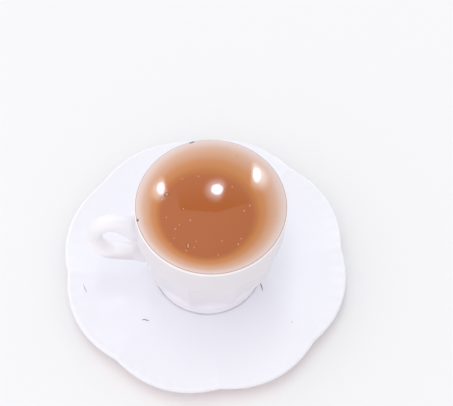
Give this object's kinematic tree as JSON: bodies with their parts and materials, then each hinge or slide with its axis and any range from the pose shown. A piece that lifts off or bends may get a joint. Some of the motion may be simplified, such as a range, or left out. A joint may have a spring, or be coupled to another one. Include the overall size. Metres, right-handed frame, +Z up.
{
  "type": "miniature cup of coffee",
  "caption": "Miniature white fluted cup with a loop handle on a round-lobed saucer, filled with glossy brown resin coffee that domes over the rim.",
  "frame": {"origin": "on the surface the saucer stands on, under the centre of the saucer", "axes": "+Z up; the cup's handle points to -X and the front, from which the picture is taken, faces -Y"},
  "size_m": [0.0246, 0.0246, 0.014],
  "materials": {
    "saucer_ceramic": "white glaze, glossy",
    "cup_ceramic": "white glaze, glossy, creamier at the band under the rim",
    "coffee_resin": "milky brown set resin, wet gloss, paler where it is thin at the rim"
  },
  "bodies": {
    "root": {"saucer": "saucer_ceramic", "cup": "cup_ceramic", "coffee": "coffee_resin"}
  },
  "joints": []
}
